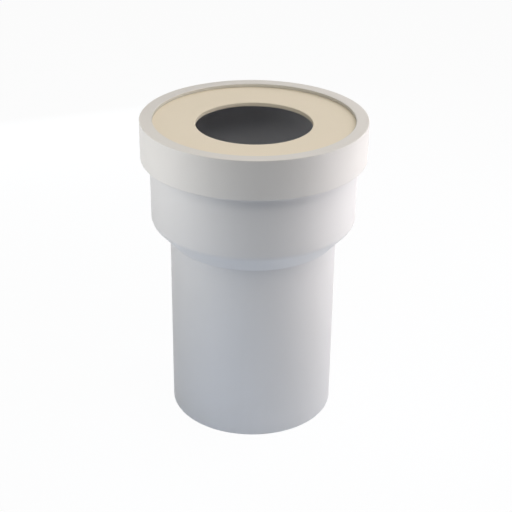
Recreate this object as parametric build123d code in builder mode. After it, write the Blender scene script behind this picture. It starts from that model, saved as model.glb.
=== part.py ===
"""Straight toilet pan connector: a white moulded pipe that joins a pan's outlet to a soil pipe.

The spigot at the bottom pushes into the soil pipe's socket. A conical shoulder widens it to the
bell, which takes the pan's outlet. A soft membrane seal hooks over the bell's mouth, and a collar
snaps over both and holds the seal down. The axis is +Z, and the spigot stands on Z = 0.
"""

import os

from build123d import *

# Spigot and shoulder, in millimetres
SPIGOT_DIAMETER = 110.0
SPIGOT_LENGTH = 124.6
SPIGOT_END_CHAMFER = 0.5
SHOULDER_STEP = 12.3
SHOULDER_HEIGHT = 13.6
SHOULDER_ROOT_RADIUS = 1.5
SHOULDER_CROWN_RADIUS = 5.0

# Bell
WALL = 3.0
BELL_LENGTH = 62.6
MOUTH_CHAMFER = 0.6

# Snap bead round the bell, which the collar's hook catches under
BEAD_DEPTH = 2.6
BEAD_LAND = 2.0
BEAD_LEAD_IN = 4.0

# Pan seal
SEAL_HOLE_DIAMETER = 75.4
SEAL_THICKNESS = 3.2
SEAL_LIP_THICKNESS = 2.8
SEAL_DISH = 1.3
SEAL_LIP_CHAMFER = 0.4
SEAL_SKIRT_CHAMFER = 0.7

# Retaining collar
COLLAR_HEIGHT = 25.8
COLLAR_WALL = 3.2
RIM_THICKNESS = 2.4
RIM_WIDTH = 8.4
RIM_INNER_CHAMFER = 0.6
RIM_OUTER_CHAMFER = 0.4
HOOK_HEIGHT = 3.2
HOOK_LEAD_IN = 0.9
COLLAR_FOOT_CHAMFER = 0.5

# Clearances between the pieces
SIDE_CLEARANCE = 0.3
HOOK_CLEARANCE = 1.1
SNAP_CLEARANCE = 0.2
SKIRT_CLEARANCE = 1.5

# Radii, from the axis outwards
spigot_radius = SPIGOT_DIAMETER / 2
bell_radius = spigot_radius + SHOULDER_STEP
bell_bore_radius = bell_radius - WALL
bead_radius = bell_radius + BEAD_DEPTH
collar_bore_radius = bead_radius + SIDE_CLEARANCE
collar_radius = collar_bore_radius + COLLAR_WALL
rim_opening_radius = collar_radius - RIM_WIDTH
hook_radius = bell_radius + HOOK_CLEARANCE
seal_hole_radius = SEAL_HOLE_DIAMETER / 2
skirt_inner_radius = bell_radius + SIDE_CLEARANCE
skirt_outer_radius = collar_bore_radius - SIDE_CLEARANCE

# Heights above the spigot's end
bell_foot = SPIGOT_LENGTH + SHOULDER_HEIGHT
mouth = bell_foot + BELL_LENGTH
seal_top = mouth + SEAL_THICKNESS
lip_top = seal_top - SEAL_DISH
lip_foot = lip_top - SEAL_LIP_THICKNESS
rim_top = seal_top + RIM_THICKNESS
collar_foot = rim_top - COLLAR_HEIGHT
hook_top = collar_foot + HOOK_HEIGHT
bead_foot = hook_top + SNAP_CLEARANCE
bead_shoulder = bead_foot + BEAD_LAND
bead_top = bead_shoulder + BEAD_LEAD_IN
skirt_foot = bead_top + SKIRT_CLEARANCE

# Spigot body: one wall of even thickness, turned round the axis, and the bead that stands out of it
with BuildPart() as spigot_body:
    with BuildSketch(Plane.XZ) as wall_section:
        with BuildLine():
            Polyline(
                (spigot_radius, 0),
                (spigot_radius, SPIGOT_LENGTH),
                (bell_radius, bell_foot),
                (bell_radius, mouth),
            )
            offset(amount=WALL, kind=Kind.INTERSECTION, side=Side.LEFT)
        make_face()
        shoulder_root = wall_section.vertices().sort_by_distance((spigot_radius, SPIGOT_LENGTH))[0]
        fillet(shoulder_root, radius=SHOULDER_ROOT_RADIUS)
        shoulder_crown = wall_section.vertices().sort_by_distance((bell_radius, bell_foot))[0]
        fillet(shoulder_crown, radius=SHOULDER_CROWN_RADIUS)
    revolve(axis=Axis.Z)

    end_edges = spigot_body.edges().filter_by(GeomType.CIRCLE).group_by(Axis.Z)
    chamfer(end_edges[0], length=SPIGOT_END_CHAMFER)
    chamfer(end_edges[-1], length=MOUTH_CHAMFER)

    with BuildSketch(Plane.XZ) as bead_section:
        with BuildLine():
            Polyline(
                (bell_radius - WALL / 2, bead_foot),
                (bead_radius, bead_foot),
                (bead_radius, bead_shoulder),
                (bell_radius, bead_top),
                (bell_radius - WALL / 2, bead_top),
                close=True,
            )
        make_face()
    revolve(axis=Axis.Z)
spigot_body.part.label = "spigot_body"

# Pan seal: a dished membrane with the pan's hole, and a skirt that hooks over the bell's mouth
with BuildPart() as pan_seal:
    with BuildSketch(Plane.XZ) as seal_section:
        with BuildLine():
            Polyline(
                (seal_hole_radius, lip_top),
                (rim_opening_radius, seal_top),
                (skirt_outer_radius, seal_top),
                (skirt_outer_radius, skirt_foot),
                (skirt_inner_radius, skirt_foot),
                (skirt_inner_radius, mouth),
                (bell_bore_radius, mouth),
                (seal_hole_radius, lip_foot),
                close=True,
            )
        make_face()
        chamfer(seal_section.vertices().group_by(Axis.X)[0], length=SEAL_LIP_CHAMFER)
        chamfer(seal_section.vertices().group_by(Axis.Y)[0], length=SEAL_SKIRT_CHAMFER)
    revolve(axis=Axis.Z)
pan_seal.part.label = "pan_seal"

# Retaining collar: a cap ring whose rim holds the seal down and whose hook catches under the bead
with BuildPart() as retaining_collar:
    with BuildSketch(Plane.XZ) as collar_section:
        with BuildLine():
            Polyline(
                (rim_opening_radius, rim_top),
                (collar_radius, rim_top),
                (collar_radius, collar_foot),
                (hook_radius, collar_foot),
                (hook_radius, hook_top),
                (collar_bore_radius, hook_top),
                (collar_bore_radius, seal_top),
                (rim_opening_radius, seal_top),
                close=True,
            )
        make_face()
        chamfer(collar_section.vertices().group_by(Axis.Y)[0].sort_by(Axis.X)[0], length=HOOK_LEAD_IN)
        chamfer(collar_section.vertices().group_by(Axis.Y)[0].sort_by(Axis.X)[-1], length=COLLAR_FOOT_CHAMFER)
        chamfer(collar_section.vertices().group_by(Axis.Y)[-1].sort_by(Axis.X)[-1], length=RIM_OUTER_CHAMFER)
        chamfer(collar_section.vertices().group_by(Axis.Y)[-1].sort_by(Axis.X)[0], length=RIM_INNER_CHAMFER)
    revolve(axis=Axis.Z)
retaining_collar.part.label = "retaining_collar"

os.makedirs("parts", exist_ok=True)
export_step(spigot_body.part, "parts/spigot_body.step")
export_step(pan_seal.part, "parts/pan_seal.step")
export_step(retaining_collar.part, "parts/retaining_collar.step")
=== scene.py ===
"""Straight toilet pan connector, dressed and lit: a white body, an ivory seal and its collar.

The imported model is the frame. Its three pieces are turned again here from the same sizes, with
the small rounds of moulded edges, and each gets a finish of its own. Lengths are in metres, with
+Z up the axis.
"""
import logging
import math
from abc import ABC, abstractmethod
from collections.abc import Mapping, Sequence
from dataclasses import dataclass
from enum import Enum
from typing import Any

import bmesh
import bpy
from mathutils import Matrix, Vector


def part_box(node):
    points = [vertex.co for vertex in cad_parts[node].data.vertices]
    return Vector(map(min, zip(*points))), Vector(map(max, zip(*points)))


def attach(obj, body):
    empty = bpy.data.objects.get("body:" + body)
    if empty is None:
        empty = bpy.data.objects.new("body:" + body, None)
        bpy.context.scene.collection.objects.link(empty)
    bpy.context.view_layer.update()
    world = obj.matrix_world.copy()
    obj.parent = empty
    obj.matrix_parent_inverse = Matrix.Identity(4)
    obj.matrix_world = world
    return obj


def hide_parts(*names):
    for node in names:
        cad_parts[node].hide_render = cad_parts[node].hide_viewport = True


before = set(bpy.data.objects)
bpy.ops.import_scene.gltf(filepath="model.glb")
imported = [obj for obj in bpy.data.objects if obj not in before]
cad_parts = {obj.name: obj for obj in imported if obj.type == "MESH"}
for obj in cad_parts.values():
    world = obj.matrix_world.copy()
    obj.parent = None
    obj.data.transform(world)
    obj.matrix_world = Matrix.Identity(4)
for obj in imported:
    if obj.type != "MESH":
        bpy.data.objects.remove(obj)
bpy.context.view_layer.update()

Colour = tuple[float, float, float]

MM = 0.001
BLACK = (0.0, 0.0, 0.0, 1.0)
WHITE = (1.0, 1.0, 1.0, 1.0)
log = logging.getLogger("pan_connector")


class Node(Enum):
    """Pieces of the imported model."""

    BODY = "spigot_body"
    SEAL = "pan_seal"
    COLLAR = "retaining_collar"


class Slot(Enum):
    """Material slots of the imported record."""

    PLASTIC = "white_plastic"
    ELASTOMER = "ivory_elastomer"


class Graph:
    """A node tree that is written from Python, one call to a node.

    Attributes:
        mix_share: number of the Mix node's factor.
        mix_first: number of its first colour.
        mix_second: number of its second colour.
        mix_result: number of its colour output.
    """

    mix_share, mix_first, mix_second, mix_result = 0, 6, 7, 2

    def __init__(self, tree: bpy.types.NodeTree) -> None:
        """Empties the tree.

        Args:
            tree: the node tree of a material or a world.
        """
        self.tree = tree
        self.tree.nodes.clear()

    def node(
        self,
        kind: str,
        settings: Mapping[str, Any] | None = None,
        inputs: Mapping[str | int, Any] | None = None,
    ) -> bpy.types.Node:
        """Adds one node.

        Args:
            kind: the node's type name.
            settings: properties of the node, which are set first.
            inputs: values or links of its sockets, by name or number.

        Returns:
            The new node.
        """
        made = self.tree.nodes.new(kind)
        for key, setting in (settings or {}).items():
            setattr(made, key, setting)
        for key, given in (inputs or {}).items():
            if isinstance(given, Signal):
                self.tree.links.new(given.socket, made.inputs[key])
            else:
                made.inputs[key].default_value = given
        return made

    def signal(
        self,
        kind: str,
        settings: Mapping[str, Any] | None = None,
        inputs: Mapping[str | int, Any] | None = None,
        output: str | int = 0,
    ) -> "Signal":
        """Adds one node and takes one of its outputs.

        Args:
            kind: the node's type name.
            settings: properties of the node, which are set first.
            inputs: values or links of its sockets, by name or number.
            output: name or number of the output.

        Returns:
            That output, ready for arithmetic.
        """
        return Signal(self, self.node(kind, settings, inputs).outputs[output])

    def blend(self, share: "Signal", first: Any, second: Any) -> "Signal":
        """Mixes two colours.

        Args:
            share: 0 for the first colour and 1 for the second.
            first: a colour or a link.
            second: a colour or a link.

        Returns:
            The mixed colour.
        """
        return self.signal(
            "ShaderNodeMix",
            {"data_type": "RGBA"},
            {self.mix_share: share, self.mix_first: first, self.mix_second: second},
            self.mix_result,
        )

    def noise(
        self, where: "Signal", scale: float, detail: float = 2.0, roughness: float = 0.5
    ) -> "Signal":
        """Adds a noise texture.

        Args:
            where: the coordinates that it reads.
            scale: features to the metre.
            detail: octaves of finer noise.
            roughness: strength of the finer octaves.

        Returns:
            A value around one half.
        """
        return self.signal(
            "ShaderNodeTexNoise",
            inputs={"Vector": where, "Scale": scale, "Detail": detail, "Roughness": roughness},
        )


class Signal:
    """A node's output that takes part in Python arithmetic, one Math node to each operator."""

    def __init__(self, graph: Graph, socket: bpy.types.NodeSocket) -> None:
        """Wraps an output.

        Args:
            graph: the graph that the node belongs to.
            socket: the node's output.
        """
        self.graph = graph
        self.socket = socket

    def _math(self, operation: str, left: Any, right: Any) -> "Signal":
        """Adds a Math node.

        Args:
            operation: the Math node's operation.
            left: its first value or link.
            right: its second value or link.

        Returns:
            The result.
        """
        return self.graph.signal("ShaderNodeMath", {"operation": operation}, {0: left, 1: right})

    def __add__(self, other: Any) -> "Signal":
        """Sum."""
        return self._math("ADD", self, other)

    def __radd__(self, other: Any) -> "Signal":
        """Sum with a number on the left."""
        return self._math("ADD", other, self)

    def __sub__(self, other: Any) -> "Signal":
        """Difference."""
        return self._math("SUBTRACT", self, other)

    def __rsub__(self, other: Any) -> "Signal":
        """Difference with a number on the left."""
        return self._math("SUBTRACT", other, self)

    def __mul__(self, other: Any) -> "Signal":
        """Product."""
        return self._math("MULTIPLY", self, other)

    def __rmul__(self, other: Any) -> "Signal":
        """Product with a number on the left."""
        return self._math("MULTIPLY", other, self)

    def __lt__(self, other: Any) -> "Signal":
        """1 where it is less, and 0 elsewhere."""
        return self._math("LESS_THAN", self, other)


def shown_rays(graph: Graph) -> Signal:
    """Finds the rays that show the background itself.

    Args:
        graph: the graph of a stage material or of the world.

    Returns:
        1 or more for camera, glossy and transmission rays, and 0 for rays that light the object.
    """
    path = graph.node("ShaderNodeLightPath")
    camera, glossy, transmission = (
        Signal(graph, path.outputs[f"Is {kind} Ray"])
        for kind in ("Camera", "Glossy", "Transmission")
    )
    return camera + glossy + transmission


@dataclass(frozen=True)
class MouldedPlastic:
    """Satin plastic as it leaves the mould: cloudy tone, faint flow lines and a fine grain, with
    painted shade on the walls that face the axis.

    Attributes:
        name: name of the material.
        pale: colour of the lighter clouds.
        deep: colour of the darker clouds.
        roughness: middle value of the surface's roughness.
        specular: strength of the shine.
        bore: colour of the painted shade that darkens the walls that face the axis.
        painted_shade_share: strength of that tint.
        painted_shade_facing: how squarely a wall has to face the axis to be tinted, times its
            radius.
        cloud_scale: clouds to the metre.
        flow_scale: flow lines to the metre, across the axis.
        flow_stretch: how much shorter the flow pattern's step is along the axis.
        flow_tone: share of the flow lines in the tone, beside the clouds.
        flow_relief: share of the flow lines in the relief, beside the grain.
        grain_scale: grains to the metre.
        grain_depth: depth of the grain, in metres.
        grain_strength: strength of the relief.
        cloud_spread: how far the clouds spread the roughness.
        flow_spread: how far the flow lines spread it.
        grain_spread: how far the grain spreads it.
    """

    name: str
    pale: Colour
    deep: Colour
    roughness: float
    specular: float
    # The bore colour, its share and its facing paint shade onto the walls that face the axis.
    bore: Colour = (0.30, 0.36, 0.50)
    painted_shade_share: float = 0.0
    painted_shade_facing: float = 1.0 * MM
    cloud_scale: float = 34.0
    flow_scale: float = 260.0
    flow_stretch: float = 0.06
    flow_tone: float = 0.3
    flow_relief: float = 0.2
    grain_scale: float = 2400.0
    grain_depth: float = 0.05 * MM
    grain_strength: float = 0.25
    cloud_spread: float = 0.12
    flow_spread: float = 0.08
    grain_spread: float = 0.06

    def material(self) -> bpy.types.Material:
        """Makes the material.

        Returns:
            A new material.
        """
        made = bpy.data.materials.new(self.name)
        made.use_nodes = True
        graph = Graph(made.node_tree)
        where = graph.signal("ShaderNodeTexCoord", output="Object")
        along = graph.signal(
            "ShaderNodeMapping", inputs={"Vector": where, "Scale": (1.0, 1.0, self.flow_stretch)}
        )
        clouds = graph.noise(where, self.cloud_scale, detail=3.0)
        flow = graph.noise(along, self.flow_scale, detail=2.0)
        grain = graph.noise(where, self.grain_scale, detail=2.0, roughness=0.6)
        height = grain * (1.0 - self.flow_relief) + flow * self.flow_relief
        tone = clouds * (1.0 - self.flow_tone) + flow * self.flow_tone
        colour = graph.blend(tone, (*self.deep, 1.0), (*self.pale, 1.0))
        # Painted shade: walls that face the axis are blended towards the bore colour, as if they
        # lay in shade.
        shade = self._faces_axis(graph, where) * self.painted_shade_share
        spread = clouds * self.cloud_spread + flow * self.flow_spread + grain * self.grain_spread
        middle = (self.cloud_spread + self.flow_spread + self.grain_spread) / 2.0
        bump = graph.signal(
            "ShaderNodeBump",
            inputs={
                "Strength": self.grain_strength,
                "Distance": self.grain_depth,
                "Height": height,
            },
        )
        shader = graph.node(
            "ShaderNodeBsdfPrincipled",
            inputs={
                "Base Color": graph.blend(shade, colour, (*self.bore, 1.0)),
                "Roughness": spread + (self.roughness - middle),
                "Specular IOR Level": self.specular,
                "Normal": bump,
            },
        )
        graph.node("ShaderNodeOutputMaterial", inputs={"Surface": Signal(graph, shader.outputs[0])})
        return made

    def _faces_axis(self, graph: Graph, where: Signal) -> Signal:
        """Finds the walls that face the axis, where the painted shade goes.

        Args:
            graph: the material's graph.
            where: the piece's own coordinates.

        Returns:
            1 on such walls, and 0 elsewhere.
        """
        normal = graph.signal("ShaderNodeNewGeometry", output="Normal")
        away = graph.signal("ShaderNodeMapping", inputs={"Vector": where, "Scale": (1.0, 1.0, 0.0)})
        outward = graph.signal(
            "ShaderNodeVectorMath", {"operation": "DOT_PRODUCT"}, {0: normal, 1: away}, "Value"
        )
        return outward < -self.painted_shade_facing


@dataclass(frozen=True)
class SoftElastomer:
    """Soft ivory elastomer: a dull skin with a slight bloom and a fine, even grain.

    Attributes:
        name: name of the material.
        pale: colour where the bloom is strongest.
        deep: colour of the bare skin.
        roughness: middle value of the surface's roughness.
        specular: strength of the shine.
        bloom_scale: patches of bloom to the metre.
        bloom_spread: how far the bloom spreads the roughness.
        grain_scale: grains to the metre.
        grain_depth: depth of the grain, in metres.
        grain_strength: strength of the relief.
        grain_tone: share of the grain in the tone, beside the bloom.
        grain_spread: how far the grain spreads the roughness.
    """

    name: str
    pale: Colour
    deep: Colour
    roughness: float
    specular: float
    bloom_scale: float = 46.0
    bloom_spread: float = 0.14
    grain_scale: float = 1900.0
    grain_depth: float = 0.08 * MM
    grain_strength: float = 0.3
    grain_tone: float = 0.2
    grain_spread: float = 0.08

    def material(self) -> bpy.types.Material:
        """Makes the material.

        Returns:
            A new material.
        """
        made = bpy.data.materials.new(self.name)
        made.use_nodes = True
        graph = Graph(made.node_tree)
        where = graph.signal("ShaderNodeTexCoord", output="Object")
        bloom = graph.noise(where, self.bloom_scale, detail=4.0, roughness=0.6)
        grain = graph.noise(where, self.grain_scale, detail=2.0, roughness=0.6)
        tone = bloom * (1.0 - self.grain_tone) + grain * self.grain_tone
        spread = bloom * self.bloom_spread + grain * self.grain_spread
        middle = (self.bloom_spread + self.grain_spread) / 2.0
        bump = graph.signal(
            "ShaderNodeBump",
            inputs={"Strength": self.grain_strength, "Distance": self.grain_depth, "Height": grain},
        )
        shader = graph.node(
            "ShaderNodeBsdfPrincipled",
            inputs={
                "Base Color": graph.blend(tone, (*self.deep, 1.0), (*self.pale, 1.0)),
                "Roughness": spread + (self.roughness - middle),
                "Specular IOR Level": self.specular,
                "Normal": bump,
            },
        )
        graph.node("ShaderNodeOutputMaterial", inputs={"Surface": Signal(graph, shader.outputs[0])})
        return made


@dataclass(frozen=True)
class Corner:
    """One corner of a half section.

    Attributes:
        radius: distance from the axis.
        height: height above the spigot's end.
        arc: radius of the arc that breaks the corner, or 0 for a sharp one.
        segments: straight steps along that arc.
    """

    radius: float
    height: float
    arc: float = 0.0
    segments: int = 4

    @property
    def place(self) -> Vector:
        """The corner's place in the plane of the section."""
        return Vector((self.radius, 0.0, self.height))


@dataclass(frozen=True)
class TurningBench:
    """Models a ring as by hand: half its section is drawn, its corners are broken, and it is spun.

    Attributes:
        steps: steps of the spin in a full turn.
        smooth_angle: angle between faces up to which they shade as one, in degrees.
        weld: distance at which doubled vertices are merged.
    """

    steps: int = 240
    smooth_angle: float = 32.0
    weld: float = 0.002 * MM

    def turn(self, name: str, section: Sequence[Corner]) -> bpy.types.Object:
        """Models one ring.

        Args:
            name: name of the new piece.
            section: corners of the half section, in order round it.

        Returns:
            The finished mesh object, at the origin.
        """
        bpy.ops.object.select_all(action="DESELECT")
        bpy.ops.mesh.primitive_plane_add(size=MM, location=(0.0, 0.0, 0.0))
        piece = bpy.context.object
        piece.name = piece.data.name = name
        bpy.ops.object.mode_set(mode="EDIT")
        self._draw(section)
        self._break_corners(piece.data, section)
        self._spin()
        bpy.ops.object.mode_set(mode="OBJECT")
        self._smooth(piece)
        return piece

    def _draw(self, section: Sequence[Corner]) -> None:
        """Draws the section as one face, extruded from a single vertex.

        Args:
            section: corners of the half section.
        """
        bpy.ops.mesh.select_mode(type="VERT")
        bpy.ops.mesh.select_all(action="SELECT")
        bpy.ops.mesh.merge(type="CENTER")
        bpy.ops.transform.translate(value=section[0].place)
        for start, end in zip(section[:-1], section[1:]):
            step = end.place - start.place
            bpy.ops.mesh.extrude_region_move(TRANSFORM_OT_translate={"value": step})
        bpy.ops.mesh.select_all(action="SELECT")
        bpy.ops.mesh.edge_face_add()

    def _break_corners(self, mesh: bpy.types.Mesh, section: Sequence[Corner]) -> None:
        """Rounds the corners that have an arc.

        Args:
            mesh: the mesh in edit mode.
            section: corners of the half section.
        """
        for index, corner in enumerate(section):
            if corner.arc == 0.0:
                continue
            before = section[index - 1]
            after = section[(index + 1) % len(section)]
            turn = (corner.place - before.place).angle(after.place - corner.place)
            bpy.ops.mesh.select_all(action="DESELECT")
            edit = bmesh.from_edit_mesh(mesh)
            for vertex in edit.verts:
                vertex.select_set((vertex.co - corner.place).length < self.weld)
            bmesh.update_edit_mesh(mesh)
            bpy.ops.mesh.bevel(
                affect="VERTICES",
                offset_type="OFFSET",
                offset=corner.arc * math.tan(turn / 2.0),
                segments=corner.segments,
                profile=0.5,
            )

    def _spin(self) -> None:
        """Spins the section's outline about the axis and closes the ring."""
        bpy.ops.mesh.select_all(action="SELECT")
        bpy.ops.mesh.delete(type="ONLY_FACE")
        bpy.ops.mesh.select_all(action="SELECT")
        bpy.ops.mesh.spin(
            steps=self.steps, angle=math.tau, center=(0.0, 0.0, 0.0), axis=(0.0, 0.0, 1.0)
        )
        bpy.ops.mesh.select_all(action="SELECT")
        bpy.ops.mesh.remove_doubles(threshold=self.weld)
        bpy.ops.mesh.normals_make_consistent(inside=False)

    def _smooth(self, piece: bpy.types.Object) -> None:
        """Shades the ring smooth, with its flats kept flat beside the small rounds.

        Args:
            piece: the ring, selected and active.
        """
        bpy.ops.object.shade_smooth_by_angle(angle=math.radians(self.smooth_angle))
        bpy.ops.object.modifier_add(type="WEIGHTED_NORMAL")
        piece.modifiers[-1].keep_sharp = True
        bpy.ops.object.modifier_apply(modifier=piece.modifiers[-1].name)


class MouldedPiece(ABC):
    """One moulded ring of the connector."""

    node: Node
    slot: Slot
    finish: MouldedPlastic | SoftElastomer

    @abstractmethod
    def section(self) -> list[Corner]:
        """Corners of the half section, in order round it."""

    def build(self, bench: TurningBench) -> bpy.types.Object:
        """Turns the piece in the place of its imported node.

        Args:
            bench: the bench that it is turned on.

        Returns:
            The new piece.
        """
        piece = bench.turn(f"{self.node.value}_moulding", self.section())
        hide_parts(self.node.value)
        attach(piece, "root")
        return piece

    def dress(self, piece: bpy.types.Object) -> None:
        """Gives the piece its finish.

        Args:
            piece: the piece from build.
        """
        piece.data.materials.append(self.finish.material())


@dataclass
class SpigotBody(MouldedPiece):
    """The moulded pipe: spigot, conical shoulder, bell, and the bead that the collar catches under.

    Attributes:
        finish: the finish that it is dressed in.
        spigot_radius: outer radius of the spigot.
        spigot_length: height of the shoulder's root.
        shoulder_height: height of the conical shoulder.
        bell_radius: outer radius of the bell.
        wall: thickness of the wall.
        bead_foot: height of the bead's underside.
        bead_land: height of the bead's straight side.
        bead_lead_in: height of the bead's slope.
        root_arc: radius at the shoulder's root.
        crown_arc: radius at the shoulder's crown.
        edge_arc: radius of the small broken edges.
    """

    finish: MouldedPlastic
    spigot_radius: float = 55.0 * MM
    spigot_length: float = 124.6 * MM
    shoulder_height: float = 13.6 * MM
    bell_radius: float = 67.3 * MM
    wall: float = 3.0 * MM
    bead_foot: float = 184.0 * MM
    bead_land: float = 2.0 * MM
    bead_lead_in: float = 4.0 * MM
    root_arc: float = 1.5 * MM
    crown_arc: float = 5.0 * MM
    edge_arc: float = 0.5 * MM
    node = Node.BODY
    slot = Slot.PLASTIC

    def section(self) -> list[Corner]:
        """Corners of the half section, up the outside and down the bore."""
        low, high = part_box(self.node.value)
        foot, mouth, bead_radius = low.z, high.z, high.x
        bell_foot = self.spigot_length + self.shoulder_height
        slope = math.atan2(self.bell_radius - self.spigot_radius, self.shoulder_height)
        bore_rise = self.wall * math.tan(slope / 2.0)
        bead_shoulder = self.bead_foot + self.bead_land
        bead_top = bead_shoulder + self.bead_lead_in
        bore = self.spigot_radius - self.wall
        bell_bore = self.bell_radius - self.wall
        return [
            Corner(self.spigot_radius, foot, self.edge_arc),
            Corner(self.spigot_radius, self.spigot_length, self.root_arc, segments=5),
            Corner(self.bell_radius, bell_foot, self.crown_arc, segments=10),
            Corner(self.bell_radius, self.bead_foot),
            Corner(bead_radius, self.bead_foot, self.edge_arc),
            Corner(bead_radius, bead_shoulder, self.edge_arc),
            Corner(self.bell_radius, bead_top, self.edge_arc),
            Corner(self.bell_radius, mouth, self.edge_arc),
            Corner(bell_bore, mouth, self.edge_arc),
            Corner(bell_bore, bell_foot + bore_rise, self.root_arc, segments=5),
            Corner(bore, self.spigot_length + bore_rise, self.crown_arc, segments=8),
            Corner(bore, foot, self.edge_arc),
        ]


@dataclass
class PanSeal(MouldedPiece):
    """The soft membrane with the pan's hole, and the skirt that hooks over the bell's mouth.

    Attributes:
        finish: the finish that it is dressed in.
        hole_radius: radius of the hole.
        thickness: thickness of the membrane over the bell's mouth.
        lip_thickness: thickness of the membrane at the hole.
        dish: fall of the membrane from the rim to the hole.
        rim_opening: radius at which the dish starts.
        bell_bore: radius at which the membrane leaves the bell's mouth.
        skirt_radius: inner radius of the skirt.
        lip_arc: radius of the hole's edges.
        skirt_arc: radius of the skirt's edges.
    """

    finish: SoftElastomer
    hole_radius: float = 37.7 * MM
    thickness: float = 3.2 * MM
    lip_thickness: float = 2.8 * MM
    dish: float = 1.3 * MM
    rim_opening: float = 65.0 * MM
    bell_bore: float = 64.3 * MM
    skirt_radius: float = 67.6 * MM
    lip_arc: float = 0.5 * MM
    skirt_arc: float = 0.7 * MM
    node = Node.SEAL
    slot = Slot.ELASTOMER

    def section(self) -> list[Corner]:
        """Corners of the half section, out along the top and back underneath."""
        low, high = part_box(self.node.value)
        skirt_foot, top, outside = low.z, high.z, high.x
        mouth = top - self.thickness
        lip_top = top - self.dish
        return [
            Corner(self.hole_radius, lip_top, self.lip_arc),
            Corner(self.rim_opening, top),
            Corner(outside, top, self.lip_arc),
            Corner(outside, skirt_foot, self.skirt_arc),
            Corner(self.skirt_radius, skirt_foot, self.skirt_arc),
            Corner(self.skirt_radius, mouth),
            Corner(self.bell_bore, mouth),
            Corner(self.hole_radius, lip_top - self.lip_thickness, self.lip_arc),
        ]


@dataclass
class RetainingCollar(MouldedPiece):
    """The cap ring: a rim that holds the seal down, a side, and the hook under the bell's bead.

    Attributes:
        finish: the finish that it is dressed in.
        wall: thickness of the side.
        rim_thickness: thickness of the rim.
        rim_width: width of the rim's top.
        hook_radius: inner radius of the hook.
        hook_height: height of the hook.
        rim_inner_arc: radius of the rim's inner edge.
        rim_outer_arc: radius of the rim's outer edge.
        rim_foot_arc: radius of the rim's lower edge, where it meets the seal.
        foot_arc: radius of the foot's outer edge.
        hook_arc: radius of the hook's lower edge.
    """

    finish: MouldedPlastic
    wall: float = 3.2 * MM
    rim_thickness: float = 2.4 * MM
    rim_width: float = 8.4 * MM
    hook_radius: float = 68.4 * MM
    hook_height: float = 3.2 * MM
    rim_inner_arc: float = 0.7 * MM
    rim_outer_arc: float = 0.5 * MM
    rim_foot_arc: float = 0.6 * MM
    foot_arc: float = 0.6 * MM
    hook_arc: float = 0.9 * MM
    node = Node.COLLAR
    slot = Slot.PLASTIC

    def section(self) -> list[Corner]:
        """Corners of the half section, out along the rim, down the side and back inside."""
        low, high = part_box(self.node.value)
        foot, top, outside = low.z, high.z, high.x
        opening = outside - self.rim_width
        bore = outside - self.wall
        hook_top = foot + self.hook_height
        rim_foot = top - self.rim_thickness
        return [
            Corner(opening, top, self.rim_inner_arc, segments=6),
            Corner(outside, top, self.rim_outer_arc, segments=5),
            Corner(outside, foot, self.foot_arc, segments=5),
            Corner(self.hook_radius, foot, self.hook_arc, segments=5),
            Corner(self.hook_radius, hook_top),
            Corner(bore, hook_top),
            Corner(bore, rim_foot),
            Corner(opening, rim_foot, self.rim_foot_arc),
        ]


@dataclass(frozen=True)
class Softbox:
    """A rectangular studio lamp that faces the object.

    Attributes:
        name: name of the lamp.
        azimuth: direction round the object in degrees, 0 in front and 90 to the right.
        elevation: direction above the horizon in degrees.
        distance: distance from the aim point.
        width: width of its face.
        height: height of its face.
        power: radiant power in watts.
        colour: colour of its light.
    """

    name: str
    azimuth: float
    elevation: float
    distance: float
    width: float
    height: float
    power: float
    colour: Colour

    def hang(self, aim: Vector) -> bpy.types.Object:
        """Puts the lamp in its place.

        Args:
            aim: the point that it faces.

        Returns:
            The lamp's object.
        """
        turn, rise = math.radians(self.azimuth), math.radians(self.elevation)
        level = math.cos(rise)
        away = Vector((math.sin(turn) * level, -math.cos(turn) * level, math.sin(rise)))
        lamp = bpy.data.lights.new(self.name, "AREA")
        lamp.shape = "RECTANGLE"
        lamp.size, lamp.size_y = self.width, self.height
        lamp.energy, lamp.color = self.power, self.colour
        hung = bpy.data.objects.new(self.name, lamp)
        hung.location = aim + away * self.distance
        hung.rotation_euler = away.to_track_quat("Z", "Y").to_euler()
        hung.visible_camera = False
        bpy.context.scene.collection.objects.link(hung)
        return hung


@dataclass(frozen=True)
class StudioCamera:
    """The camera at the photograph's viewing angle.

    Attributes:
        place: where it stands.
        pitch: how far it looks down, in degrees.
        yaw: how far it looks to the right of +Y, in degrees.
        roll: how far it leans, in degrees.
        lens: focal length in millimetres on the sensor below.
        sensor: width of the sensor in millimetres.
        near: nearest distance that it shows.
        far: farthest distance that it shows.
    """

    place: tuple[float, float, float] = (0.0, -0.741797, 0.482466)
    pitch: float = 26.839
    yaw: float = 0.166
    roll: float = 0.68
    lens: float = 86.71
    sensor: float = 36.0
    near: float = 0.01
    far: float = 100.0

    def set_up(self) -> None:
        """Makes the camera and takes the picture through it."""
        pitch, yaw, roll = (math.radians(angle) for angle in (self.pitch, self.yaw, self.roll))
        ahead = Vector(
            (math.sin(yaw) * math.cos(pitch), math.cos(yaw) * math.cos(pitch), -math.sin(pitch))
        )
        level = Vector((math.cos(yaw), -math.sin(yaw), 0.0))
        upright = level.cross(ahead)
        right = level * math.cos(roll) + upright * math.sin(roll)
        up = upright * math.cos(roll) - level * math.sin(roll)
        data = bpy.data.cameras.new("studio_camera")
        data.lens, data.sensor_width = self.lens, self.sensor
        data.clip_start, data.clip_end = self.near, self.far
        camera = bpy.data.objects.new("studio_camera", data)
        turned = Matrix((right, up, -ahead)).transposed().to_4x4()
        camera.matrix_world = Matrix.Translation(self.place) @ turned
        bpy.context.scene.collection.objects.link(camera)
        bpy.context.scene.camera = camera


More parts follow.
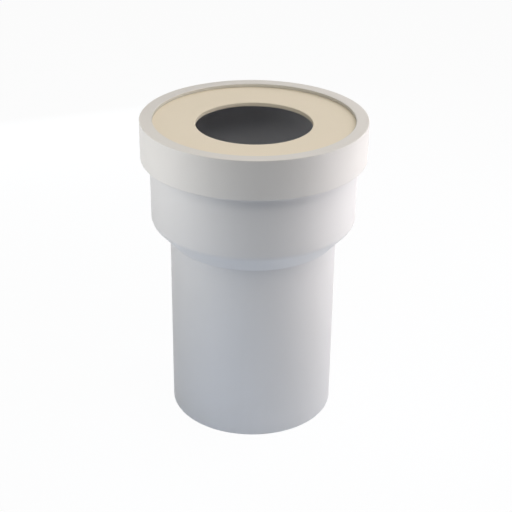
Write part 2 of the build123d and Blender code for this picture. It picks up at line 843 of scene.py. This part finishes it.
@dataclass(frozen=True)
class Studio:
    """A white table in soft light from both sides.

    Attributes:
        softboxes: the lamps.
        table_size: side of the table.
        table_colour: colour of the table.
        table_white: share of plain white in the table as the camera sees it.
        table_drop: how far the table lies below the spigot's end.
        aim: the point that the lamps face.
    """

    softboxes: tuple[Softbox, ...]
    table_size: float = 16.0
    table_colour: Colour = (0.81, 0.89, 1.0)
    table_white: float = 0.96
    table_drop: float = 0.05 * MM
    aim: tuple[float, float, float] = (0.0, 0.0, 0.12)

    def set_up(self) -> None:
        """Lays the table, hangs the lamps and sets the world and the view."""
        self._lay_table()
        self._fill_world()
        for softbox in self.softboxes:
            softbox.hang(Vector(self.aim))
        bpy.context.scene.view_settings.view_transform = "Standard"

    def _lay_table(self) -> None:
        """Lays the white table, which keeps a faint shadow of the object."""
        bpy.ops.object.select_all(action="DESELECT")
        bpy.ops.mesh.primitive_plane_add(
            size=self.table_size, location=(0.0, 0.0, -self.table_drop)
        )
        table = bpy.context.object
        table.name = "table"
        made = bpy.data.materials.new("white_table")
        made.use_nodes = True
        graph = Graph(made.node_tree)
        paint = graph.signal("ShaderNodeBsdfDiffuse", inputs={"Color": (*self.table_colour, 1.0)})
        white = graph.signal("ShaderNodeEmission", inputs={"Color": WHITE})
        share = shown_rays(graph) * self.table_white
        seen = graph.signal("ShaderNodeMixShader", inputs={0: share, 1: paint, 2: white})
        graph.node("ShaderNodeOutputMaterial", inputs={"Surface": seen})
        table.data.materials.append(made)

    def _fill_world(self) -> None:
        """Makes the world white to look at and dark to the object."""
        world = bpy.data.worlds.new("studio")
        world.use_nodes = True
        bpy.context.scene.world = world
        graph = Graph(world.node_tree)
        dark = graph.signal("ShaderNodeBackground", inputs={"Color": BLACK})
        white = graph.signal("ShaderNodeBackground", inputs={"Color": WHITE})
        seen = graph.signal("ShaderNodeMixShader", inputs={0: shown_rays(graph), 1: dark, 2: white})
        graph.node("ShaderNodeOutputWorld", inputs={"Surface": seen})


# Painted shade: the body's inner walls are tinted slate grey so the inside reads darker, as shade
# in the pipe would make it.
BODY_PLASTIC = MouldedPlastic(
    "white_moulded_body",
    pale=(0.738, 0.733, 0.728),
    deep=(0.708, 0.703, 0.698),
    roughness=0.5,
    specular=0.25,
    painted_shade_share=0.32,
)
# Painted shade: the rim's inner wall above the seal is tinted warm grey, standing in for the shade
# in that recess.
COLLAR_PLASTIC = MouldedPlastic(
    "white_moulded_collar",
    pale=(0.748, 0.735, 0.713),
    deep=(0.718, 0.705, 0.683),
    roughness=0.5,
    specular=0.25,
    bore=(0.36, 0.33, 0.22),
    painted_shade_share=0.34,
    painted_shade_facing=50.0 * MM,
)
IVORY_ELASTOMER = SoftElastomer(
    "ivory_soft_elastomer",
    pale=(0.85, 0.775, 0.635),
    deep=(0.81, 0.735, 0.595),
    roughness=0.6,
    specular=0.3,
)
NEUTRAL = (1.0, 1.0, 1.0)
WARM = (1.0, 0.97, 0.92)
ROSE = (1.0, 0.945, 0.95)
AMBER = (1.0, 0.90, 0.76)
COOL = (0.62, 0.75, 1.0)
# Name, azimuth, elevation, distance, width, height, power and colour of each lamp
SOFTBOXES = (
    Softbox("right_key", 110.0, 25.0, 0.50, 0.30, 0.40, 1.30, ROSE),
    Softbox("right_side", 66.0, 14.0, 0.20, 0.08, 0.12, 0.104, ROSE),
    Softbox("left_strip", -58.0, 35.0, 0.36, 0.16, 0.30, 0.165, WARM),
    Softbox("left_side", -75.0, 28.0, 0.22, 0.10, 0.12, 0.044, WARM),
    Softbox("left_front", -56.0, 21.0, 0.20, 0.08, 0.10, 0.065, NEUTRAL),
    Softbox("top_right", 45.0, 60.0, 1.00, 0.60, 0.60, 2.60, WARM),
    Softbox("top_front", -10.0, 50.0, 1.00, 0.30, 0.30, 0.95, WARM),
    Softbox("front_card", -24.0, -22.0, 0.20, 0.10, 0.06, 0.031, COOL),
    Softbox("back_right", 150.0, 50.0, 1.00, 0.60, 0.60, 1.30, AMBER),
    Softbox("back_fill", 180.0, 50.0, 1.00, 0.60, 0.60, 1.60, WARM),
    Softbox("back_left", -160.0, 0.0, 0.60, 0.40, 0.16, 1.00, NEUTRAL),
)


def main() -> None:
    """Builds and dresses the three pieces and sets up the studio."""
    logging.basicConfig(level=logging.INFO, format="%(message)s")
    bench = TurningBench()
    for part in (
        SpigotBody(BODY_PLASTIC),
        PanSeal(IVORY_ELASTOMER),
        RetainingCollar(COLLAR_PLASTIC),
    ):
        piece = part.build(bench)
        part.dress(piece)
        log.info("%s: %d faces", piece.name, len(piece.data.polygons))
    StudioCamera().set_up()
    Studio(SOFTBOXES).set_up()


if __name__ == "__main__":
    main()
